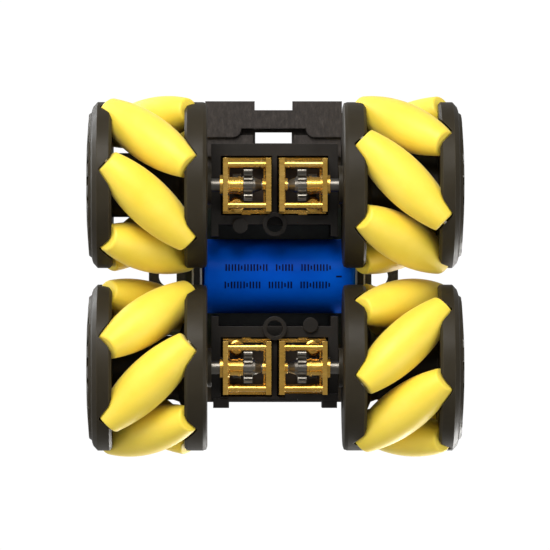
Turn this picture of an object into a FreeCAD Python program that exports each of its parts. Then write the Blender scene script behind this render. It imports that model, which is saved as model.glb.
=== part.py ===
import FreeCAD, Part
import os, math
from FreeCAD import Vector as V, Rotation, Placement
import Sketcher

# Mecanum wheel robot. Millimetres. +Z up, ground at z = 0, +Y to the front lip.
doc = FreeCAD.newDocument("MecanumRobot")
sh = doc.addObject("Spreadsheet::Sheet", "dims")
VALUES = [
    ("wheel_r", 20.0), ("axle_z", 20.0), ("wheel_x", 28.4), ("wheel_y", 20.5),
    ("rim_r", 18.65), ("plate_in_a", 15.2), ("plate_in_b", 20.3), ("plate_out_a", 36.5), ("plate_out_b", 41.0),
    ("core_r", 7.2), ("shaft_r", 1.5), ("shaft_flat", 1.0), ("shaft_end", 24.5),
    ("roller_axis_r", 14.7), ("roller_mid_r", 5.3), ("roller_half", 13.0), ("roller_end_r", 2.87), ("roller_fillet", 0.6),
    ("roller_clear", 0.4), ("pin_r", 0.6), ("pin_half", 14.6), ("bore_r", 0.65),
    ("box_a", 0.9), ("box_ai", 2.1), ("box_bi", 10.6), ("box_b", 11.7), ("box_half_y", 6.0), ("box_z0", 14.0), ("box_z1", 30.0),
    ("post_r", 0.7), ("post_y", 4.6), ("motor_top", 45.0), ("motor_half_y", 6.0),
    ("gear_m", 0.4), ("gear_n", 16), ("pinion_n", 9), ("idler_dz", 5.06), ("worm_r", 1.7), ("worm_wheel_r", 2.6),
    ("frame_hx", 14.35), ("wall", 1.5), ("frame_z0", 27.0), ("frame_z1", 49.3), ("frame_y0", -28.15), ("frame_y1", 30.0),
    ("bay_hx", 12.7), ("bay_y0", -11.3), ("bay_y1", 11.7),
    ("board_z0", 49.3), ("board_z1", 50.9), ("cover_z1", 52.9), ("wing_hx", 28.7), ("wing_hy", 20.0), ("lip_hx", 15.7), ("lip_y", 40.2),
    ("pin_hole_r", 2.4), ("pin_hole_x", 24.0), ("pin_pitch", 8.0), ("cradle_z1", 56.9),
    ("cell_r", 8.45), ("cell_len", 34.8), ("cell_z", 40.2), ("cell_x", -1.0),
    ("switch_travel", 2.0),
]
for i, (k, v) in enumerate(VALUES, start=1):
    sh.set("A%d" % i, k)
    sh.set("B%d" % i, str(v))
    sh.setAlias("B%d" % i, k)
doc.recompute()


def G(k):
    return float(sh.get(k))


ops = 0


def nm(stem):
    global ops
    ops += 1
    return "%s_%d" % (stem, ops)


def ev(x):
    """Value of a number or of an expression over the sheet's words."""
    if not isinstance(x, str):
        return float(x)
    return None


def bind(obj, prop, x):
    if isinstance(x, str):
        obj.setExpression(prop, x)
    else:
        if "." in prop:
            p = obj.Placement.Base
            setattr(p, prop[-1], float(x))
            obj.Placement.Base = p
        else:
            setattr(obj, prop, float(x))


def par(x):
    return "(%s)" % x if isinstance(x, str) else ("(%.6g)" % x)


def diff(b, a):
    if isinstance(a, str) or isinstance(b, str):
        return "%s - %s" % (par(b), par(a))
    return float(b) - float(a)


def box(x0, x1, y0, y1, z0, z1):
    b = doc.addObject("Part::Box", nm("block"))
    bind(b, "Length", diff(x1, x0))
    bind(b, "Width", diff(y1, y0))
    bind(b, "Height", diff(z1, z0))
    for p, q in (("x", x0), ("y", y0), ("z", z0)):
        bind(b, "Placement.Base." + p, q)
    return b


def cyl(r, x, y, z, length, axis="z"):
    c = doc.addObject("Part::Cylinder", nm("round"))
    bind(c, "Radius", r)
    bind(c, "Height", length)
    rot = {"z": Rotation(), "x": Rotation(V(0, 1, 0), 90), "y": Rotation(V(1, 0, 0), -90)}[axis]
    c.Placement = Placement(V(0, 0, 0), rot)
    for p, q in (("x", x), ("y", y), ("z", z)):
        bind(c, "Placement.Base." + p, q)
    return c


def fuse(items):
    if len(items) == 1:
        return items[0]
    f = doc.addObject("Part::MultiFuse", nm("join"))
    f.Shapes = items
    f.Refine = True
    return f


def cut(a, items):
    c = doc.addObject("Part::Cut", nm("less"))
    c.Base = a
    c.Tool = fuse(items)
    c.Refine = True
    return c


NODES = []


def node(obj, label):
    obj.Label = label
    NODES.append(obj)
    return obj


def plane(body, role):
    return [o for o in body.Origin.OriginFeatures if o.Role == role][0]


def sketch(body, role="XY_Plane", offset=None):
    s = body.newObject("Sketcher::SketchObject", nm("outline"))
    s.AttachmentSupport = [(plane(body, role), "")]
    s.MapMode = "FlatFace"
    if offset is not None:
        s.AttachmentOffset = offset
    return s


def poly(s, pts, arcs=None):
    """Closed outline; arcs maps an edge index to the point it passes through. Each corner is fixed by distances."""
    arcs = arcs or {}
    n = len(pts)
    ids = []
    for i in range(n):
        a, b = pts[i], pts[(i + 1) % n]
        A, B = V(a[0], a[1], 0), V(b[0], b[1], 0)
        if i in arcs:
            m = V(arcs[i][0], arcs[i][1], 0)
            ids.append(s.addGeometry(Part.Arc(A, m, B), False))
        else:
            ids.append(s.addGeometry(Part.LineSegment(A, B), False))
    return ids


def revolve(body, s, axis, groove=False):
    f = body.newObject("PartDesign::Groove" if groove else "PartDesign::Revolution", nm("turned"))
    f.Profile = s
    f.ReferenceAxis = (s, [axis])
    f.Angle = 360.0
    s.Visibility = False
    return f


def new_body(label):
    b = doc.addObject("PartDesign::Body", nm("body"))
    b.Label = label
    return b


SIN45 = math.sqrt(0.5)
CORNERS = [("front_right", 1, 1, 15.0, 1), ("front_left", -1, 1, -3.5, 1), ("rear_right", 1, -1, 12.0, -1), ("rear_left", -1, -1, -20.5, -1)]


def wheel_place(sx, sy, phase):
    side = Rotation(V(0, 0, 1), 0 if sx > 0 else 180)
    turn = Rotation(V(1, 0, 0), -phase)
    return Placement(V(sx * G("wheel_x"), sy * G("wheel_y"), G("axle_z")), turn.multiply(side))


# ---------------------------------------------------------------- rollers
def roller(label):
    b = new_body(label)
    s = sketch(b)
    hl, er, mr, br = G("roller_half"), G("roller_end_r"), G("roller_mid_r"), G("bore_r")
    ids = poly(s, [(-hl, br), (hl, br), (hl, er), (-hl, er)], {2: (0, mr)})
    C = Sketcher.Constraint
    s.addConstraint(C("Coincident", ids[0], 2, ids[1], 1))
    s.addConstraint(C("Horizontal", ids[0]))
    s.addConstraint(C("Vertical", ids[1]))
    s.addConstraint(C("Vertical", ids[3]))
    c = s.addConstraint(C("DistanceY", -1, 1, ids[0], 1, br))
    s.renameConstraint(c, "bore")
    s.setExpression("Constraints.bore", "dims.bore_r")
    f = revolve(b, s, "H_Axis")
    doc.recompute()
    edges = []
    for i, e in enumerate(f.Shape.Edges, start=1):
        if hasattr(e.Curve, "Radius") and e.isClosed() and abs(e.Curve.Radius - er) < 0.01:
            edges.append("Edge%d" % i)
    fl = b.newObject("PartDesign::Fillet", nm("rounded"))
    fl.Base = (f, edges)
    fl.Radius = G("roller_fillet")
    fl.setExpression("Radius", "dims.roller_fillet")
    b.Tip = fl
    return b


def roller_place(wp, hand, k):
    local = Placement(V(0, 0, 0), Rotation(V(1, 0, 0), -60.0 * k)).multiply(
        Placement(V(0, 0, -G("roller_axis_r")), Rotation(V(0, 0, 1), 45.0 * hand)))
    return wp.multiply(local)


def seat_offset(hand):
    return Placement(V(0, 0, -G("roller_axis_r")), Rotation(V(0, 0, 1), 45.0 * hand))


def six(b, feat):
    p = b.newObject("PartDesign::PolarPattern", nm("six"))
    p.Originals = [feat]
    p.Axis = (plane(b, "X_Axis"), [""])
    p.Angle = 360
    p.Occurrences = 6
    b.Tip = p
    return p


def seats(b, hand):
    """Six slanted pockets for the roller ends, and six pin holes."""
    cl, hl, er, mr, ph = G("roller_clear"), G("roller_half"), G("roller_end_r"), G("roller_mid_r"), G("pin_half")
    s = sketch(b, offset=seat_offset(hand))
    H = hl + cl
    poly(s, [(-ph - 0.02, 0), (ph + 0.02, 0), (ph + 0.02, G("pin_r")), (H, G("pin_r")), (H, er + cl - 0.35), (H - 0.35, er + cl),
             (-H + 0.35, er + cl), (-H, er + cl - 0.35), (-H, G("pin_r")), (-ph - 0.02, G("pin_r"))], {5: (0, mr + cl)})
    g = revolve(b, s, "H_Axis", True)
    doc.recompute()
    six(b, g)


def plate_in(label, hand):
    b = new_body(label)
    s = sketch(b)
    c = G("wheel_x")
    a0, a1 = G("plate_in_a") - c, G("plate_in_b") - c
    R, cr = G("rim_r"), G("core_r")
    end = G("plate_out_a") - c
    poly(s, [(a0 - 0.9, 2.6), (a0 - 0.9, 4.4), (a0 + 0.0, 4.4), (a0, R - 1.0), (a0 + 0.25, R - 0.25), (a0 + 1.0, R), (a1 - 0.6, R), (a1, R - 0.6),
             (a1, cr + 3.2), (a1 + 1.2, cr + 0.5), (a1 + 2.6, cr), (end, cr), (end, 1.25), (G("shaft_end") - c, 1.25), (G("shaft_end") - c, 1.5), (a0 - 0.2, 1.5), (a0 - 0.2, 2.6)])
    revolve(b, s, "H_Axis")
    doc.recompute()
    seats(b, hand)
    return b


def plate_out(label, hand):
    b = new_body(label)
    s = sketch(b)
    c = G("wheel_x")
    a0, a1, R = G("plate_out_a") - c, G("plate_out_b") - c, G("rim_r")
    poly(s, [(a0, 1.3), (a0, R - 0.6), (a0 + 0.6, R), (a1 - 1.2, R), (a1 - 0.2, R - 1.1), (a1, R - 1.7), (a1, 17.0), (a1 + 0.15, 16.3), (a1 + 0.72, 15.9),
             (a1 + 0.97, 12.7), (a1 + 1.17, 9.8), (a1 + 1.27, 6.0), (a1 + 1.27, 3.4), (a1 - 0.6, 3.4), (a1 - 0.6, 1.3)])
    revolve(b, s, "H_Axis")
    doc.recompute()
    seats(b, hand)
    # twenty scallops in the domed face
    s2 = sketch(b, offset=Placement(V(0, 0, 13.0), Rotation()))
    poly(s2, [(a1 + 0.02, -1.0), (a1 + 3.0, -1.0), (a1 + 3.0, 1.0), (a1 + 0.02, 1.0)])
    s2.Visibility = False
    pk = b.newObject("PartDesign::Pocket", nm("flute"))
    pk.Profile = s2
    pk.SideType = "Symmetric" if hasattr(pk, "SideType") else pk.SideType
    pk.Type = "Length"
    pk.Length = 6.0
    doc.recompute()
    q = b.newObject("PartDesign::PolarPattern", nm("flutes"))
    q.Originals = [pk]
    q.Axis = (plane(b, "X_Axis"), [""])
    q.Angle = 360
    q.Occurrences = 20
    b.Tip = q
    return b


def pins(label, hand):
    """Six steel roller pins and the hub screw, one group."""
    shp = []
    ph, pr, ra = G("pin_half"), G("pin_r"), G("roller_axis_r")
    for k in range(6):
        s = Part.makeCylinder(pr, 2 * ph, V(-ph, 0, 0), V(1, 0, 0))
        s.Placement = Placement(V(0, 0, 0), Rotation(V(1, 0, 0), -60.0 * k)).multiply(Placement(V(0, 0, -ra), Rotation(V(0, 0, 1), 45.0 * hand)))
        shp.append(s)
    c = G("wheel_x")
    x1 = G("plate_out_b") - c - 0.6
    scr = Part.makeCylinder(1.25, x1 - (30.0 - c), V(30.0 - c, 0, 0), V(1, 0, 0)).fuse(Part.makeCylinder(2.6, 1.3, V(x1, 0, 0), V(1, 0, 0)))
    scr = scr.cut(Part.makeBox(1.0, 0.7, 3.6, V(x1 + 0.7, -0.35, -1.8))).cut(Part.makeBox(1.0, 3.6, 0.7, V(x1 + 0.7, -1.8, -0.35)))
    shp.append(scr)
    f = doc.addObject("Part::Feature", nm("pins"))
    f.Shape = Part.makeCompound(shp)
    f.Label = label
    return f


def gear_face(n, m, add=0.8, ded=1.15, thin=0.78, per=5):
    """Spur-gear outline in the YZ plane: involute flanks with backlash."""
    rp = n * m / 2.0
    ra, rf = rp + add * m, rp - ded * m
    al = math.radians(20)
    rb = rp * math.cos(al)
    inv = math.tan(al) - al
    half = math.pi / (2 * n) * thin
    pts = []

    def th(r):
        if r < rb:
            return half + inv
        a = math.acos(rb / r)
        return half + inv - (math.tan(a) - a)
    r0 = max(rb, rf)
    rs = [r0 + (ra - r0) * i / (per - 1) for i in range(per)]
    for t in range(n):
        c = 2 * math.pi * t / n
        pts.append((rf, c - th(r0)))
        pts += [(r, c - th(r)) for r in rs]
        pts += [(r, c + th(r)) for r in reversed(rs)]
        pts.append((rf, c + th(r0)))
    out = []
    for r, a in pts:
        p = V(0, r * math.sin(a), -r * math.cos(a))
        if not out or out[-1].distanceToPoint(p) > 1e-4:
            out.append(p)
    out.append(out[0])
    return Part.Face(Part.makePolygon(out))


def output_shaft(label):
    """D-shaft, spur gear, collars; local X outward, origin on the axle at the middle of the machine."""
    f = doc.addObject("Part::Feature", nm("shaft"))
    r = G("shaft_r")
    x0, x1 = 1.0, G("shaft_end")
    s = Part.makeCylinder(r, x1 - 12.2, V(12.2, 0, 0), V(1, 0, 0))
    s = s.cut(Part.makeBox(x1 - 15.2 + 1, 4, 2, V(15.2, -2, G("shaft_flat"))))
    s = s.fuse(Part.makeCylinder(0.95, 11.3, V(x0, 0, 0), V(1, 0, 0)))
    s = s.fuse(Part.makeCylinder(r, 1.4, V(10.8, 0, 0), V(1, 0, 0)).fuse(Part.makeCylinder(r, 1.2, V(11.8, 0, 0), V(1, 0, 0))))
    g = gear_face(int(G("gear_n")), G("gear_m")).extrude(V(1.9, 0, 0))
    g.translate(V(5.1, 0, 0))
    s = s.fuse(g).fuse(Part.makeCylinder(r, 4.0, V(6.9, 0, 0), V(1, 0, 0)))
    s = s.fuse(Part.makeCone(1.15, 1.65, 1.5, V(3.1, 0, 0), V(1, 0, 0))).fuse(Part.makeCylinder(1.65, 0.8, V(4.5, 0, 0), V(1, 0, 0)))
    f.Shape = s.removeSplitter()
    f.Label = label
    return f


def idler(label):
    f = doc.addObject("Part::Feature", nm("idler"))
    n = int(G("pinion_n"))
    pf = gear_face(n, G("gear_m"))
    pf.rotate(V(0, 0, 0), V(1, 0, 0), 180.0 / n)
    g = pf.extrude(V(2.3, 0, 0))
    g.translate(V(4.9, 0, 0))
    w = Part.makeCylinder(G("worm_wheel_r"), 1.9, V(7.6, 0, 0), V(1, 0, 0))
    for k in range(20):
        b = Part.makeBox(2.4, 0.34, 0.9, V(7.35, -0.17, G("worm_wheel_r") - 0.42))
        b.rotate(V(8.55, 0, G("worm_wheel_r")), V(0, 0, 1), 8.0)
        b.rotate(V(0, 0, 0), V(1, 0, 0), 18.0 * k)
        w = w.cut(b)
    s = Part.makeCylinder(0.5, 10.2, V(1.2, 0, 0), V(1, 0, 0)).fuse(g).fuse(w)
    f.Shape = s.removeSplitter()
    f.Label = label
    return f


def worm(label, reach):
    """Worm on the motor shaft: a core with a helical thread."""
    f = doc.addObject("Part::Feature", nm("worm"))
    R = G("worm_r")
    core = Part.makeCylinder(R - 0.38, 4.6, V(0, 0, -2.3), V(0, 0, 1))
    hx = Part.makeHelix(0.8, 3.6, R - 0.42)
    p0 = V(R - 0.44, 0, 0)
    tri = Part.makePolygon([V(R - 0.44, 0, -0.3), V(R, 0, -0.12), V(R, 0, 0.12), V(R - 0.44, 0, 0.3), V(R - 0.44, 0, -0.3)])
    thread = Part.Wire(hx.Edges).makePipeShell([tri], True, True)
    thread.translate(V(0, 0, -1.8))
    s = core.fuse(thread) if thread.isValid() and thread.Volume > 0 else core
    s = s.fuse(Part.makeCylinder(0.5, reach, V(0, 0, 2.0), V(0, 0, 1))).fuse(Part.makeCylinder(0.5, 1.3, V(0, 0, -3.5), V(0, 0, 1)))
    f.Shape = s
    f.Label = label
    return f


AX = G("axle_z")
IDZ = AX + G("idler_dz")
# worm axis stands in front of the worm wheel (towards the middle of the machine)
WORM_DY = G("worm_wheel_r") + G("worm_r") + 0.08
for name, sx, sy, phase, hand in CORNERS:
    wp = wheel_place(sx, sy, phase)
    side = Rotation(V(0, 0, 1), 0 if sx > 0 else 180)
    b = plate_in(name + "_inner_plate", hand)
    b.Placement = wp
    NODES.append(b)
    b = plate_out(name + "_outer_plate", hand)
    b.Placement = wp
    NODES.append(b)
    p = pins(name + "_pins", hand)
    p.Placement = wp
    NODES.append(p)
    for k in range(6):
        r = roller("%s_roller_%d" % (name, k + 1))
        r.Placement = roller_place(wp, hand, k)
        NODES.append(r)
    s = output_shaft(name + "_output_shaft")
    s.Placement = Placement(V(0, sy * G("wheel_y"), AX), side)
    NODES.append(s)
    s = idler(name + "_idler")
    s.Placement = Placement(V(0, sy * G("wheel_y"), IDZ), side)
    NODES.append(s)
    s = worm(name + "_worm", 4.6)
    # the worm stands beside the worm wheel, its axis upright
    s.Placement = Placement(V(sx * 8.55, sy * (G("wheel_y") - 0.0) - sy * WORM_DY, IDZ), side)
    NODES.append(s)

# ---------------------------------------------------------------- gearbox frames
boxes = []
for name, sx, sy, phase, hand in CORNERS:
    frames = []
    yc = "%d * dims.wheel_y" % sy
    y0, y1 = yc + " - dims.box_half_y", yc + " + dims.box_half_y"
    for a, c in (("dims.box_a", "dims.box_ai"), ("dims.box_bi", "dims.box_b")):
        xa, xb = (a, c) if sx > 0 else ("-(%s)" % c, "-(%s)" % a)
        pl = box(xa, xb, y0, y1, "dims.box_z0", "dims.box_z1")
        holes = [cyl(1.02 if a == "dims.box_a" else 1.56, par(xa) + " - 1", yc, "dims.axle_z", 4.0, "x"),
                 cyl(0.56, par(xa) + " - 1", yc, "dims.axle_z + dims.idler_dz", 4.0, "x")]
        frames.append(cut(pl, holes))
    # posts between the plates: collars at their ends leave a groove
    for px, pz in ((-1, "dims.box_z0 + 1.1"), (1, "dims.box_z0 + 1.1"), (1, "dims.box_z1 - 1.8")):
        yy = yc + " + %d * dims.post_y" % (px * sy)
        frames.append(cyl("dims.post_r", ("dims.box_ai - 0.3" if sx > 0 else "-dims.box_bi - 0.3"), yy, pz, "dims.box_bi - dims.box_ai + 0.6", "x"))
        for off in ((0.45, 1.6) if px * sy > 0 else (6.2, 7.35)):
            frames.append(cyl("dims.post_r + 0.14", ("dims.box_ai + %.2f" % off if sx > 0 else "-dims.box_ai - %.2f" % (off + 0.7)), yy, pz, 0.7, "x"))
    # motor plate on top of the two side plates, slightly proud towards the ends of the machine
    mp = box("%s" % ("dims.box_a" if sx > 0 else "-dims.box_b"), "%s" % ("dims.box_b" if sx > 0 else "-dims.box_a"), y0 + " - 0.35", y1 + " + 0.35", "dims.box_z1", "dims.box_z1 + 0.9")
    wx, wy = "%d * 8.55" % sx, "%d * (dims.wheel_y - %.4f)" % (sy, WORM_DY)
    frames.append(cut(mp, [box(("dims.box_ai + 0.4" if sx > 0 else "-dims.box_bi + 0.4"), ("dims.box_bi - 0.4" if sx > 0 else "-dims.box_ai - 0.4"), y0 + " + 0.5", y1 + " - 0.5", "dims.box_z1 - 1", "dims.box_z1 + 3")]))
    ring = fuse([cyl(1.85, (7.15 if sx > 0 else -10.8), yc, "dims.axle_z", 3.65, "x"), cyl(2.05, (7.75 if sx > 0 else -8.25), yc, "dims.axle_z", 0.5, "x"),
                 cyl(2.35, (10.3 if sx > 0 else -12.4), yc, "dims.axle_z", 2.1, "x")])
    frames.append(cut(ring, [cyl(1.56, (6.0 if sx > 0 else -13.0), yc, "dims.axle_z", 7.0, "x")]))
    ring2 = cyl(1.45, (1.8 if sx > 0 else -2.85), yc, "dims.axle_z", 1.05, "x")
    frames.append(cut(ring2, [cyl(1.02, (1.0 if sx > 0 else -4.0), yc, "dims.axle_z", 3.0, "x")]))
    # small terminal tab on the side towards the bay
    frames.append(box(("5.4" if sx > 0 else "-7.4"), ("7.4" if sx > 0 else "-5.4"), (y0 + " - 0.6" if sy > 0 else y1 + " - 0.1"), (y0 + " + 0.1" if sy > 0 else y1 + " + 0.6"), "dims.box_z1 - 0.7", "dims.box_z1 + 0.5"))
    boxes.append(fuse(frames))
allf = doc.addObject("Part::Compound", "gearbox_group")
allf.Links = boxes
node(allf, "gearbox_frames")

# ---------------------------------------------------------------- motors
cans = []
for name, sx, sy, phase, hand in CORNERS:
    xc = sx * 6.3
    yc = sy * G("wheel_y")
    z0 = G("box_z1") + 0.9
    blk = Part.makeBox(10.0, 12.0, G("motor_top") - z0, V(xc - 5.0, yc - 6.0, z0))
    rd = Part.makeCylinder(6.0, G("motor_top") - z0, V(xc, yc, z0), V(0, 0, 1))
    can = blk.common(rd)
    can = can.fuse(Part.makeCylinder(2.4, 0.8, V(xc, yc, G("motor_top")), V(0, 0, 1)))
    for dy in (-3.6, 3.6):
        can = can.fuse(Part.makeBox(1.6, 0.4, 1.6, V(xc - 0.8, yc + dy - 0.2, G("motor_top"))))
    wx, wy = sx * 8.55, sy * (G("wheel_y") - WORM_DY)
    can = can.cut(Part.makeCylinder(0.75, 6.0, V(wx, wy, z0 - 1), V(0, 0, 1)))
    cans.append(can)
f = doc.addObject("Part::Feature", "motor_group")
f.Shape = Part.makeCompound(cans)
node(f, "motors")

# ---------------------------------------------------------------- chassis frame
FX, FW = "dims.frame_hx", "dims.wall"
solids = [box("-dims.frame_hx", "dims.frame_hx", "dims.frame_y0", "dims.frame_y1", "dims.frame_z0", "dims.frame_z1")]
tools = []
# battery bay, open below and through both sides
tools.append(box("-dims.bay_hx", "dims.bay_hx", "dims.bay_y0", "dims.bay_y1", 20, 60))
tools.append(box(-20, 20, "-dims.cell_r - 0.6", "dims.cell_r + 0.6", 20, "dims.cell_z + dims.cell_r + 0.7"))
# two gearbox wells front and rear, each with a rib between the pair
for sy in (1, -1):
    for sx in (1, -1):
        x0, x1 = (0.55, 12.15) if sx > 0 else (-12.15, -0.55)
        yc = "%d * dims.wheel_y" % sy
        tools.append(box(x0, x1, yc + " - 6.7", yc + " + 6.7", 20, "dims.motor_top + 0.15"))
        tools.append(cyl(4.9, sx * 6.3, yc, "dims.motor_top - 1", 3.0))
body = cut(fuse(solids), tools)
adds = []
# ring bosses at the ends of the bay, on the centre line
bosses = []
for y in ("dims.bay_y1 + 0.05", "dims.bay_y0 - 0.45"):
    bosses.append(cyl(2.7, 0, y, "dims.frame_z0 - 1.4", 3.0))
# half-round bumps on the edges of the bay
bosses.append(cyl(1.7, 7.8, "dims.bay_y1 - 0.3", "dims.frame_z0 - 0.8", 2.4))
bosses.append(cyl(1.7, -8.1, "dims.bay_y0 + 0.3", "dims.frame_z0 - 0.8", 2.4))
# centre ribs, rear feet and peg
bosses.append(box(0.1, 1.6, "dims.frame_y0 - 0.85", "dims.frame_y0 + 0.6", "dims.frame_z0", 33))
for sx in (1, -1):
    x0, x1 = (10.3, 13.9) if sx > 0 else (-14.1, -10.7)
    bosses.append(box(x0, x1, "dims.frame_y0 - 1.6", "dims.frame_y0 + 0.5", "dims.frame_z0 - 0.6", 36))
# lit shelf beside the rear left gearbox
bosses.append(box(-14.35, -2.3, "dims.frame_y0", "dims.frame_y0 + 1.6", "dims.frame_z0 - 1.0", "dims.frame_z0 + 1"))
# front wall fins on the inside of the bay
body = fuse([body] + bosses)
drill = []
for y in ("dims.bay_y1 + 0.05", "dims.bay_y0 - 0.45"):
    drill.append(cyl(1.8, 0, y, "dims.frame_z0 - 2", 8.0))
drill.append(box(-5.2, 4.8, "dims.frame_y0 - 2", "dims.frame_y0 + 0.45", 20, "dims.frame_z0 + 9"))
for sx in (1, -1):
    # axle clearance slots in the side walls are not needed below the frame; screw holes from above
    for x, y in ((6.5, -26.0), (10.6, 28.65)):
        drill.append(cyl(0.9, sx * x, y, "dims.frame_z1 - 8", 12.0))
node(cut(body, drill), "chassis_frame")

# ---------------------------------------------------------------- battery
b = new_body("battery_cell")
s = sketch(b)
L, R = G("cell_len") / 2, G("cell_r")
poly(s, [(-L, 0), (-L, 6.6), (-L + 0.25, 6.9), (-L + 0.25, R - 0.5), (-L + 0.45, R - 0.12), (-L + 0.9, R), (L - 1.3, R), (L - 0.75, R - 0.15), (L - 0.55, R - 0.6), (L - 0.55, 3.9),
         (L - 0.3, 3.6), (L - 0.3, 2.9), (L, 2.6), (L, 0)])
revolve(b, s, "H_Axis")
b.Placement = Placement(V(G("cell_x"), 0, G("cell_z")), Rotation())
NODES.append(b)

CZ = G("cell_z")
# holder: a trough above the cell hung from the frame, with an end wall each side
TOPZ = G("board_z0")
hold = [box(-20.3, 18.3, -7.6, 7.6, CZ + 5.6, TOPZ)]
for x0, x1 in ((16.9, 18.3), (-20.3, -18.9)):
    hold.append(box(x0, x1, -4.4, 4.4, CZ - 6.4, CZ - 1.0))
    hold.append(box(x0, x1, -7.6, 7.6, CZ - 1.5, TOPZ))
holder = cut(fuse(hold), [cyl("dims.cell_r + 0.05", -18.85, 0, "dims.cell_z", 35.7, "x")])
node(holder, "battery_holder")
cont = []
for x0, x1, t in ((16.45, 16.9, 1), (-18.9, -18.45, -1)):
    cont.append(box(x0, x1, -3.4, 3.4, CZ - 4.6, CZ + 5.0))
cont.append(cyl(2.0, 16.42, 0, CZ, 0.1, "x"))
cont.append(box(18.3, 18.75, -2.2, 2.2, CZ - 3.0, CZ + 6.0))
cont.append(box(-20.75, -20.3, -2.2, 2.2, CZ - 3.0, CZ + 6.0))
cc = doc.addObject("Part::Compound", "contact_group")
cc.Links = cont
node(cc, "battery_contacts")

# ---------------------------------------------------------------- board, cover
bd = box(-26.5, 26.5, -15.6, 15.6, "dims.board_z0", "dims.board_z1")
bd2 = box(-13.6, 13.6, -27.4, 27.4, "dims.board_z0", "dims.board_z1")
bh = [cyl(2.7, sx * 24.0, y, 40, 20.0) for sx in (1, -1) for y in (-16, -8, 0, 8, 16)]
bh += [cyl(1.1, sx * 6.5, -26.0, 40, 20.0) for sx in (1, -1)]
node(cut(fuse([bd, bd2]), bh), "controller_board")

# top cover: a cross-shaped plate with a cradle rim above and a skirted lip in front
LX, LY, ZB, ZC = "dims.lip_hx", "dims.lip_y", "dims.board_z1", "dims.cover_z1"
cov = [box("-dims.lip_hx", LX, -29.0, LY, ZB, ZC), box("-dims.wing_hx", "dims.wing_hx", "-dims.wing_hy", "dims.wing_hy", ZB, ZC)]
rim = [(-14.6, -13.0, -27.5, 25.6), (13.0, 14.6, -27.5, 25.6), (-14.6, 14.6, 24.0, 25.6), (-14.6, -9.2, -27.5, -26.0), (9.2, 14.6, -27.5, -26.0)]
for x0, x1, y0, y1 in rim:
    cov.append(box(x0, x1, y0, y1, ZC + " - 0.5", "dims.cradle_z1"))
cov.append(box("-dims.lip_hx", LX, 33.9, LY, ZB + " - 2.4", ZB + " + 0.5"))
for sx in (1, -1):
    cov.append(box("9.4" if sx > 0 else "-dims.lip_hx", LX if sx > 0 else "-9.4", 31.9, 34.4, ZB + " - 2.4", ZB + " + 0.5"))
    cov.append(cyl(2.0, sx * 9.4, 33.9, ZB + " - 2.4", 2.9))
    cov.append(box("4.7" if sx > 0 else "-dims.lip_hx", LX if sx > 0 else "-4.7", 27.5, 32.4, ZB + " - 1.5", ZB + " + 0.5"))
cc_cuts = [box(-4.35, 4.35, LY + " - 2.05", LY + " + 2", 40, 60), box(-4.2, 4.2, 30.6, 33.1, 40, 60), box(-10.6, 10.6, 16.0, 18.8, 40, 60),
           box(-11.6, -1.2, -24.6, -19.4, 40, 60), box(1.2, 11.6, -24.6, -19.4, 40, 60), box(16.2, 21.4, -5.4, 5.4, 40, 60)]
cc_cuts += [cyl("dims.pin_hole_r", ("%d * dims.pin_hole_x" % sx), "%d * dims.pin_pitch" % j, 40, 20.0) for sx in (1, -1) for j in (-2, -1, 0, 1, 2)]
cc_cuts += [cyl(0.95, sx * x, y, 40, 20.0) for sx in (1, -1) for x, y in ((6.5, -26.0), (10.6, 28.65))]
node(cut(fuse(cov), cc_cuts), "top_cover")

LIFT = Placement(V(0, 0, G("board_z0") - 47.3), Rotation())
# components on both sides of the board, laid out from a board whose underside is at 47.3 and lifted to it
comp = []
Z1, Z0 = 48.9, 47.3
comp.append(box(20.3, 22.3, -2.0, 2.2, Z0 - 1.8, Z0))
lo = [(20.4, 21.9, -13.0, -11.0, 1.0), (20.2, 22.6, -6.0, -3.0, 1.3), (20.4, 22.2, 3.2, 6.4, 1.6), (20.4, 22.0, 9.0, 12.4, 1.1), (-22.4, -21.2, -5.0, 4.6, 4.2), (-21.9, -20.4, 9.8, 12.0, 1.2), (-22.2, -20.4, -12.0, -9.0, 1.4)]
for x0, x1, y0, y1, d in lo:
    comp.append(box(x0, x1, y0, y1, Z0 - d, Z0))
cg = doc.addObject("Part::Compound", "component_group")
cg.Links = comp
cg.Placement = LIFT
node(cg, "board_components")

con = []
hd = box(-10.2, 10.2, 16.2, 18.6, Z1, 57.4)
con.append(cut(hd, [box(-9.2 + 2.54 * i, -8.2 + 2.54 * i, 16.9, 17.9, 50.4, 58) for i in range(8)]))
for x0, x1 in ((-11.3, -1.5), (1.5, 11.3)):
    sh0 = box(x0, x1, -24.3, -19.7, Z1, 55.4)
    cavity = [box(x0 + 0.8, x1 - 0.8, -23.5, -20.5, 50.0, 56.0)]
    blk = cut(sh0, cavity)
    con.append(fuse([blk] + [box(x0 + 1.6 + 2.0 * i, x0 + 2.1 + 2.0 * i, -22.25, -21.75, 49.9, 54.2) for i in range(4)]))
cg2 = doc.addObject("Part::Compound", "connector_group")
cg2.Links = con
cg2.Placement = LIFT
node(cg2, "connectors")

# slide switch: housing on the board, slider with its knob
sw = cut(box(16.6, 21.0, -5.0, 5.0, Z1, 52.3), [box(17.6, 20.0, -4.1, 4.1, 49.9, 51.6), box(18.0, 19.6, -2.7, 2.7, 51.0, 53.0)])
sw.Label = "switch_housing_shape"
con2 = doc.getObject("connector_group")
con2.Links = con + [sw]
sl = fuse([box(17.65, 19.95, -3.0, 1.0, 49.95, 51.55), box(18.05, 19.55, -1.75, -0.25, 51.5, 54.4)])
sl.Placement = LIFT
node(sl, "switch_slider")

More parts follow.
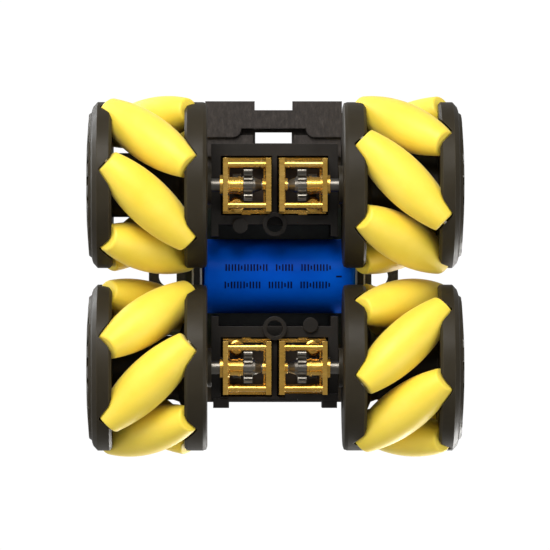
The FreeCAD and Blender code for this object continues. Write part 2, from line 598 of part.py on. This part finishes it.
# screws from above that hold cover, board and frame together
fs = []
for sx in (1, -1):
    for x, y in ((6.5, -26.0), (10.6, 28.65)):
        zt = G("cover_z1")
        scr = Part.makeCylinder(0.9, 7.0, V(sx * x, y, zt - 7.0), V(0, 0, 1))
        hdm = Part.makeCylinder(1.5, 1.2, V(sx * x, y, zt), V(0, 0, 1))
        hdm = hdm.cut(Part.makeBox(2.2, 0.4, 0.6, V(sx * x - 1.1, y - 0.2, zt + 0.8)))
        hdm = hdm.cut(Part.makeBox(0.4, 2.2, 0.6, V(sx * x - 0.2, y - 1.1, zt + 0.8)))
        fs.append(scr.fuse(hdm))
f = doc.addObject("Part::Feature", "screw_group")
f.Shape = Part.makeCompound(fs)
node(f, "fasteners")

doc.recompute()

# ---------------------------------------------------------------- checks and export
bad = []
for o in doc.Objects:
    if "Invalid" in o.State or "Error" in o.State:
        bad.append("%s (%s): %s" % (o.Name, o.Label, o.State))
for o in NODES:
    if o.Shape.isNull() or not o.Shape.isValid():
        bad.append("%s: shape not valid" % o.Label)
if bad:
    raise SystemExit("\n".join(bad))
os.makedirs("parts", exist_ok=True)
for old in os.listdir("parts"):
    if old.endswith(".step"):
        os.remove(os.path.join("parts", old))
for o in NODES:
    o.Shape.exportStep("parts/%s.step" % o.Label)
print(len(NODES), "nodes written")
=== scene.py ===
import bpy, bmesh, math
from mathutils import Vector, Matrix


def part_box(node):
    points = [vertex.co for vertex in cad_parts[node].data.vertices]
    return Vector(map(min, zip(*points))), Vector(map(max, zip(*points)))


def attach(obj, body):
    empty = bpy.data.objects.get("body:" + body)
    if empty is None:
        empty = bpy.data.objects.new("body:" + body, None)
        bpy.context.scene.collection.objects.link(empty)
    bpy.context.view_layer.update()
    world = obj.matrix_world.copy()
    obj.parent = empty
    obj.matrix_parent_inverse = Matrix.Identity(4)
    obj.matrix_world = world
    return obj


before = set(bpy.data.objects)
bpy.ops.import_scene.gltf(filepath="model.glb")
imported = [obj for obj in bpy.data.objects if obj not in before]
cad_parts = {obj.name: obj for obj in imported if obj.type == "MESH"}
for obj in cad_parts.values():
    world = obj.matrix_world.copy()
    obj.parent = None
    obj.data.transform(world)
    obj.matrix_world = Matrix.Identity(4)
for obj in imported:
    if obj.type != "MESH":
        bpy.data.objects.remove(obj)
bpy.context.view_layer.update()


scene = bpy.context.scene
scene.view_settings.view_transform = "Standard"
MM = 0.001


# ------------------------------------------------------------------ materials
class N:
    """Small helper for building a node material."""

    def __init__(self, name, color=(0.5, 0.5, 0.5), rough=0.5, metal=0.0, spec=0.5, coat=0.0, coat_rough=0.1, sheen=0.0):
        self.m = bpy.data.materials.new(name)
        self.m.use_nodes = True
        self.nt = self.m.node_tree
        self.b = self.nt.nodes["Principled BSDF"]
        self.b.inputs["Base Color"].default_value = (*color, 1)
        self.b.inputs["Roughness"].default_value = rough
        self.b.inputs["Metallic"].default_value = metal
        self.b.inputs["Specular IOR Level"].default_value = spec
        self.b.inputs["Coat Weight"].default_value = coat
        self.b.inputs["Coat Roughness"].default_value = coat_rough
        self.b.inputs["Sheen Weight"].default_value = sheen
        self.m.diffuse_color = (*color, 1)
        self.tc = self.nt.nodes.new("ShaderNodeTexCoord")
        self.last_bump = None

    def bevel(self, radius):
        """Rounded look on sharp edges; gives back how near an edge is."""
        n = self.node("ShaderNodeBevel", samples=4)
        n.inputs["Radius"].default_value = radius
        self.last_bump = n.outputs["Normal"]
        g = self.node("ShaderNodeNewGeometry")
        d = self.node("ShaderNodeVectorMath", operation="DOT_PRODUCT")
        self.link(n.outputs["Normal"], d.inputs[0])
        self.link(g.outputs["Normal"], d.inputs[1])
        return self.rng(d.outputs["Value"], 1.0, 0.0, 0.80, 0.995)

    def node(self, kind, **kw):
        n = self.nt.nodes.new(kind)
        for k, v in kw.items():
            setattr(n, k, v)
        return n

    def link(self, a, b):
        self.nt.links.new(a, b)

    def mapping(self, scale=(1, 1, 1), rot=(0, 0, 0)):
        mp = self.node("ShaderNodeMapping")
        mp.inputs["Scale"].default_value = scale
        mp.inputs["Rotation"].default_value = rot
        self.link(self.tc.outputs["Object"], mp.inputs["Vector"])
        return mp.outputs["Vector"]

    def noise(self, scale, detail=4.0, rough=0.55, vec=None, dist=0.0):
        n = self.node("ShaderNodeTexNoise")
        n.inputs["Scale"].default_value = scale
        n.inputs["Detail"].default_value = detail
        n.inputs["Roughness"].default_value = rough
        n.inputs["Distortion"].default_value = dist
        self.link(vec if vec is not None else self.tc.outputs["Object"], n.inputs["Vector"])
        return n.outputs["Fac"]

    def ramp(self, fac, stops):
        r = self.node("ShaderNodeValToRGB")
        e = r.color_ramp.elements
        e[0].position, e[0].color = stops[0][0], (*stops[0][1], 1)
        e[1].position, e[1].color = stops[-1][0], (*stops[-1][1], 1)
        for p, c in stops[1:-1]:
            x = e.new(p)
            x.color = (*c, 1)
        self.link(fac, r.inputs["Fac"])
        return r.outputs["Color"]

    def rng(self, fac, lo, hi, a=0.3, b=0.7):
        r = self.node("ShaderNodeMapRange")
        r.inputs["From Min"].default_value = a
        r.inputs["From Max"].default_value = b
        r.inputs["To Min"].default_value = lo
        r.inputs["To Max"].default_value = hi
        self.link(fac, r.inputs["Value"])
        return r.outputs["Result"]

    def mix(self, fac, a, b, blend="MIX"):
        x = self.node("ShaderNodeMix", data_type="RGBA", blend_type=blend)
        if isinstance(fac, (int, float)):
            x.inputs["Factor"].default_value = fac
        else:
            self.link(fac, x.inputs["Factor"])
        for sock, v in ((x.inputs["A"], a), (x.inputs["B"], b)):
            if isinstance(v, tuple):
                sock.default_value = (*v, 1)
            else:
                self.link(v, sock)
        return x.outputs["Result"]

    def color(self, out):
        self.link(out, self.b.inputs["Base Color"])

    def rough(self, out):
        self.link(out, self.b.inputs["Roughness"])

    def bump(self, h, strength=0.2, dist=0.0001):
        n = self.node("ShaderNodeBump")
        n.inputs["Strength"].default_value = strength
        n.inputs["Distance"].default_value = dist
        self.link(h, n.inputs["Height"])
        if self.last_bump is not None:
            self.link(self.last_bump, n.inputs["Normal"])
        self.last_bump = n.outputs["Normal"]
        self.link(self.last_bump, self.b.inputs["Normal"])


def m_roller():
    k = N("roller_soft_plastic", (0.86, 0.62, 0.04), 0.50, spec=0.55, sheen=0.18)
    k.b.inputs["Subsurface Weight"].default_value = 0.12
    k.b.inputs["Subsurface Radius"].default_value = (1.0, 0.55, 0.1)
    k.b.inputs["Subsurface Scale"].default_value = 0.0012
    f = k.noise(90, 5, 0.6)
    k.color(k.ramp(f, [(0.30, (0.82, 0.60, 0.030)), (0.55, (0.86, 0.645, 0.048)), (0.78, (0.89, 0.68, 0.075))]))
    k.rough(k.rng(k.noise(260, 4, 0.6), 0.46, 0.60))
    k.bump(k.noise(2600, 3, 0.6), 0.10, 0.00006)
    k.bump(k.noise(120, 2, 0.5), 0.12, 0.0003)
    return k.m


def m_plastic(name, base, hi, rough=0.36, grain=1500.0, amount=0.16, spec=0.33):
    """Moulded dark plastic: a fine spark texture, faint flow clouds, and edges painted lighter, partly as rubbed
    wear and partly as painted highlight.
    """
    k = N(name, base, rough, spec=spec)
    edge = k.bevel(0.00022)
    cloud = k.noise(55, 5, 0.62)
    # partly wear, partly painted highlight: colour mixed toward a tone 2.1 times lighter near edges
    edge_wear_and_highlight = k.mix(edge, k.ramp(cloud, [(0.25, base), (0.85, hi)]), tuple(min(1, c * 2.1) for c in hi))
    k.color(edge_wear_and_highlight)
    k.rough(k.rng(k.noise(180, 6, 0.65), rough - 0.06, rough + 0.10))
    k.bump(k.noise(grain, 4, 0.7), amount, 0.0001)
    return k.m


def m_printed():
    """Front lip: coarse nylon with a leathery grain."""
    k = N("printed_nylon", (0.07, 0.058, 0.052), 0.62, spec=0.3)
    v = k.mapping((1.0, 0.42, 0.6), (0, 0, 0.15))
    k.bevel(0.00035)
    f = k.noise(1100, 6, 0.72, v)
    k.color(k.ramp(f, [(0.32, (0.017, 0.0135, 0.0118)), (0.52, (0.034, 0.0275, 0.0245)), (0.72, (0.062, 0.052, 0.047))]))
    k.rough(k.rng(f, 0.52, 0.74))
    k.bump(f, 0.55, 0.00022)
    k.bump(k.noise(300, 3, 0.5), 0.25, 0.0002)
    return k.m


def m_brass(name="brass_plate"):
    """Rolled brass: warm, fairly polished, with faint brushing and light tarnish in patches."""
    k = N(name, (0.85, 0.56, 0.17), 0.24, 1.0)
    edge = k.bevel(0.00010)
    v = k.mapping((1.0, 6.0, 1.0))
    f = k.noise(260, 5, 0.55, v)
    tarn = k.noise(70, 4, 0.6)
    # partly worn bright edges, partly painted highlight: colour mixed toward pale brass near edges
    k.color(k.mix(edge, k.ramp(tarn, [(0.25, (0.40, 0.20, 0.030)), (0.50, (0.62, 0.36, 0.070)), (0.80, (0.80, 0.51, 0.14))]), (0.88, 0.62, 0.22)))
    k.rough(k.rng(f, 0.20, 0.32))
    k.bump(f, 0.05, 0.00003)
    return k.m


def m_steel(name, base=(0.52, 0.50, 0.47), rough=0.27):
    k = N(name, base, rough, 1.0)
    v = k.mapping((14.0, 1.0, 1.0))
    f = k.noise(380, 6, 0.6, v)
    k.color(k.ramp(k.noise(150, 5), [(0.3, tuple(c * 0.72 for c in base)), (0.75, tuple(min(1, c * 1.18) for c in base))]))
    k.rough(k.rng(f, rough - 0.08, rough + 0.12))
    k.bump(f, 0.10, 0.00004)
    return k.m


def m_wrap():
    """Heat-shrunk sleeve: blue film with slow ripples and a soft gloss."""
    k = N("shrink_sleeve", (0.0, 0.075, 0.60), 0.44, spec=0.03)
    f = k.noise(60, 4, 0.55)
    k.color(k.ramp(f, [(0.30, (0.0, 0.062, 0.50)), (0.75, (0.0, 0.108, 0.66))]))
    k.rough(k.rng(k.noise(240, 4, 0.6), 0.30, 0.44))
    v = k.mapping((0.35, 1.0, 1.0))
    k.bump(k.noise(150, 4, 0.6, v), 0.16, 0.0004)
    k.bump(k.noise(900, 3, 0.6), 0.05, 0.0001)
    return k.m


def m_board():
    k = N("solder_mask", (0.012, 0.022, 0.020), 0.38, spec=0.5)
    f = k.noise(260, 3)
    k.color(k.ramp(f, [(0.40, (0.008, 0.014, 0.014)), (0.60, (0.020, 0.032, 0.030))]))
    k.bump(k.noise(700, 4, 0.6), 0.15, 0.0001)
    return k.m


def m_chip():
    k = N("chip_body", (0.02, 0.02, 0.021), 0.5, spec=0.4)
    k.color(k.ramp(k.noise(300, 3), [(0.35, (0.014, 0.014, 0.015)), (0.7, (0.035, 0.034, 0.034))]))
    k.bump(k.noise(3000, 2), 0.2, 0.00005)
    return k.m


def m_conn():
    k = N("connector_nylon", (0.60, 0.57, 0.50), 0.45, spec=0.45)
    k.color(k.ramp(k.noise(160, 4), [(0.3, (0.54, 0.51, 0.44)), (0.75, (0.68, 0.65, 0.58))]))
    k.bump(k.noise(1400, 3), 0.12, 0.0001)
    return k.m


MAT = {
    "roller": m_roller(),
    "hub": m_plastic("hub_plastic", (0.0170, 0.0130, 0.0070), (0.034, 0.0275, 0.0165), 0.44, 1300, 0.16, 0.14),
    "frame": m_plastic("frame_plastic", (0.0075, 0.0058, 0.0040), (0.0200, 0.0165, 0.0135), 0.42, 1500, 0.22, 0.27),
    "printed": m_printed(),
    "brass": m_brass(),
    "steel": m_steel("machined_steel", (0.30, 0.285, 0.265), 0.26),
    "dark_steel": m_steel("oiled_steel", (0.20, 0.185, 0.16), 0.36),
    "pin": m_steel("pin_steel", (0.75, 0.73, 0.70), 0.20),
    # painted shade: motor cans made near-black steel to stand for the shade inside the gearboxes
    "can": m_steel("motor_can_painted_shade", (0.055, 0.045, 0.038), 0.40),
    "wrap": m_wrap(),
    "board": m_board(),
    "chip": m_chip(),
    "conn": m_conn(),
    "nickel": m_steel("nickel_strip", (0.70, 0.67, 0.60), 0.30),
}


def nodes():
    return {o.name: o for o in bpy.data.objects if o.type == "MESH"}


def paint(name, mat):
    o = bpy.data.objects.get(name)
    o.data.materials.clear()
    o.data.materials.append(mat)


def smooth(o, deg=32):
    for p in o.data.polygons:
        p.use_smooth = True
    try:
        o.data.set_sharp_from_angle(angle=math.radians(deg))
    except Exception:
        pass


NODE_MAT = {"chassis_frame": "frame", "top_cover": "printed", "controller_board": "board", "board_components": "chip", "connectors": "conn", "battery_cell": "wrap",
            "battery_holder": "frame", "battery_contacts": "nickel", "gearbox_frames": "brass", "motors": "can", "fasteners": "steel", "switch_slider": "chip"}
for nm in list(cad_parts):
    o = bpy.data.objects.get(nm)
    if o is None:
        continue
    if nm in NODE_MAT:
        paint(nm, MAT[NODE_MAT[nm]])
    elif "_roller_" in nm:
        paint(nm, MAT["roller"])
    elif nm.endswith("_plate"):
        paint(nm, MAT["hub"])
    elif nm.endswith("_pins"):
        paint(nm, MAT["pin"])
    elif nm.endswith("_output_shaft"):
        paint(nm, MAT["dark_steel"])
    elif nm.endswith("_idler"):
        paint(nm, MAT["dark_steel"])
    elif nm.endswith("_worm"):
        paint(nm, MAT["brass"])
    smooth(o, 40 if "_roller_" in nm or nm == "battery_cell" else 28)


# ------------------------------------------------------------------ looks pieces
def mesh_obj(name, verts, faces, mat, body="chassis"):
    me = bpy.data.meshes.new(name)
    me.from_pydata(verts, [], faces)
    me.validate()
    me.update()
    o = bpy.data.objects.new(name, me)
    scene.collection.objects.link(o)
    me.materials.append(mat)
    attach(o, body)
    return o


def turned(name, prof, axis_pt, mat, body="chassis", seg=64):
    """Lathe a profile of (x, r) pairs about a line along X through axis_pt (y, z)."""
    vs, fs = [], []
    for x, r in prof:
        for i in range(seg):
            a = 2 * math.pi * i / seg
            vs.append((x, axis_pt[0] + r * math.sin(a), axis_pt[1] - r * math.cos(a)))
    n = len(prof)
    for j in range(n - 1):
        for i in range(seg):
            i2 = (i + 1) % seg
            fs.append((j * seg + i, j * seg + i2, (j + 1) * seg + i2, (j + 1) * seg + i))
    o = mesh_obj(name, vs, fs, mat, body)
    bm = bmesh.new()
    bm.from_mesh(o.data)
    bmesh.ops.recalc_face_normals(bm, faces=bm.faces)
    bm.to_mesh(o.data)
    bm.free()
    smooth(o, 50)
    return o


lo, hi = [Vector(v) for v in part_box("battery_cell")]
cx, cy, cz = (lo + hi) / 2
R = (hi.z - lo.z) / 2

# printed marks on the sleeve: plain bars in two rows, and a minus sign
ink = N("sleeve_ink", (0.001, 0.002, 0.02), 0.6, spec=0.05)
ink.color(ink.ramp(ink.noise(2500, 3), [(0.3, (0.0006, 0.0012, 0.010)), (0.75, (0.002, 0.004, 0.030))]))


def patch(bm, x0, x1, a0, a1, r, t=0.00004):
    """A thin curved patch on the sleeve between two angles from straight down."""
    n = 4
    ring = []
    for i in range(n + 1):
        a = a0 + (a1 - a0) * i / n
        ring.append([bm.verts.new((x, cy + rr * math.sin(a), cz - rr * math.cos(a))) for x, rr in ((x0, r), (x1, r), (x1, r + t), (x0, r + t))])
    for i in range(n):
        p, q = ring[i], ring[i + 1]
        for k in range(4):
            bm.faces.new((p[k], p[(k + 1) % 4], q[(k + 1) % 4], q[k]))
    bm.faces.new(ring[0])
    bm.faces.new(list(reversed(ring[-1])))


# two rows of plain upright strokes, grouped like a printed code
bm = bmesh.new()
rows = [(0.235, (7, 3, 5), -11.6), (-0.235, (6, 4, 5), -11.8)]
for a, groups, x in rows:
    for g in groups:
        for i in range(g):
            for dx, w, hgt in ((-0.34, 0.34, 0.092), (0.34, 0.34, 0.092 if (i + g) % 3 else 0.055)):
                patch(bm, cx - (x + dx + w / 2) * MM, cx - (x + dx - w / 2) * MM, a - hgt, a + hgt, R + 0.00001)
            x += 1.42
        x += 1.5
patch(bm, cx - 14.3 * MM, cx - 13.0 * MM, -0.03, 0.015, R + 0.00001)
me = bpy.data.meshes.new("sleeve_marks")
bmesh.ops.recalc_face_normals(bm, faces=bm.faces)
bm.to_mesh(me)
bm.free()
marks = bpy.data.objects.new("sleeve_marks", me)
scene.collection.objects.link(marks)
me.materials.append(ink.m)
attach(marks, "chassis")

# ------------------------------------------------------------------ stage
def stage_plane(name, z, size, color, down, emit=0.0):
    """A big plane that shows from one side only."""
    s = size / 2
    v = [(-s, -s, z), (s, -s, z), (s, s, z), (-s, s, z)]
    f = [(0, 3, 2, 1)] if down else [(0, 1, 2, 3)]
    me = bpy.data.meshes.new(name)
    me.from_pydata(v, [], f)
    o = bpy.data.objects.new(name, me)
    scene.collection.objects.link(o)
    m = bpy.data.materials.new(name + "_look")
    m.use_nodes = True
    nt = m.node_tree
    pr = nt.nodes["Principled BSDF"]
    pr.inputs["Base Color"].default_value = (*color, 1)
    pr.inputs["Roughness"].default_value = 0.9
    pr.inputs["Specular IOR Level"].default_value = 0.1
    out = nt.nodes["Material Output"]
    shader = pr.outputs[0]
    if emit > 0:
        e = nt.nodes.new("ShaderNodeEmission")
        e.inputs["Color"].default_value = (*color, 1)
        e.inputs["Strength"].default_value = emit
        shader = e.outputs[0]
    geo = nt.nodes.new("ShaderNodeNewGeometry")
    tr = nt.nodes.new("ShaderNodeBsdfTransparent")
    mx = nt.nodes.new("ShaderNodeMixShader")
    nt.links.new(geo.outputs["Backfacing"], mx.inputs["Fac"])
    nt.links.new(shader, mx.inputs[1])
    nt.links.new(tr.outputs[0], mx.inputs[2])
    nt.links.new(mx.outputs[0], out.inputs["Surface"])
    me.materials.append(m)
    return o


floor = stage_plane("floor", 0.0, 4.0, (0.86, 0.86, 0.85), False)
floor.visible_shadow = False
floor.visible_diffuse = False
floor.visible_glossy = False
floor.visible_transmission = False
back = stage_plane("backdrop", 0.6, 5.0, (1.0, 1.0, 1.0), True, 1.02)
back.visible_shadow = False
back.visible_diffuse = False
back.visible_glossy = False

world = bpy.data.worlds.new("studio")
scene.world = world
world.use_nodes = True
bg = world.node_tree.nodes["Background"]
bg.inputs["Color"].default_value = (1.0, 1.0, 1.0, 1)
bg.inputs["Strength"].default_value = 0.42


def area(name, loc, target, size, power, color=(1, 1, 1), size_y=None):
    d = bpy.data.lights.new(name, "AREA")
    d.energy = power
    d.size = size
    d.color = color
    if size_y:
        d.shape = "RECTANGLE"
        d.size_y = size_y
    o = bpy.data.objects.new(name, d)
    scene.collection.objects.link(o)
    o.location = loc
    o.rotation_euler = (Vector(target) - Vector(loc)).to_track_quat("-Z", "Y").to_euler()
    return o


T = (0, 0, 0.02)
area("under_key", (0.10, 0.42, -0.42), T, 0.35, 4.3, (1.0, 0.985, 0.96))
area("under_fill", (-0.45, -0.18, -0.40), T, 0.45, 1.5, (0.97, 0.985, 1.0))
area("under_left", (0.55, -0.05, -0.22), T, 0.40, 1.0)
area("top_key", (-0.35, -0.45, 0.55), T, 0.40, 7.0, (1.0, 0.985, 0.96))
area("top_fill", (0.50, 0.30, 0.45), T, 0.50, 4.0, (0.97, 0.985, 1.0))

# ------------------------------------------------------------------ camera
D = 1.25
S = 4.45 / MM / 1.0
aim = Vector((0.0, 0.0003, 0.020))
pos = Vector((0.014, 0.002, 0.020 - D))
cam_d = bpy.data.cameras.new("camera")
cam_d.sensor_width = 36.0
cam_d.lens = 36.0 * (S * D) / 550.0
cam_d.clip_start = 0.05
cam_d.clip_end = 20.0
cam = bpy.data.objects.new("camera", cam_d)
scene.collection.objects.link(cam)
zax = (pos - aim).normalized()
yax = Vector((0, 1, 0))
xax = yax.cross(zax).normalized()
yax = zax.cross(xax).normalized()
mtx = Matrix((xax, yax, zax)).transposed().to_4x4()
mtx.translation = pos
cam.matrix_world = mtx
scene.camera = cam
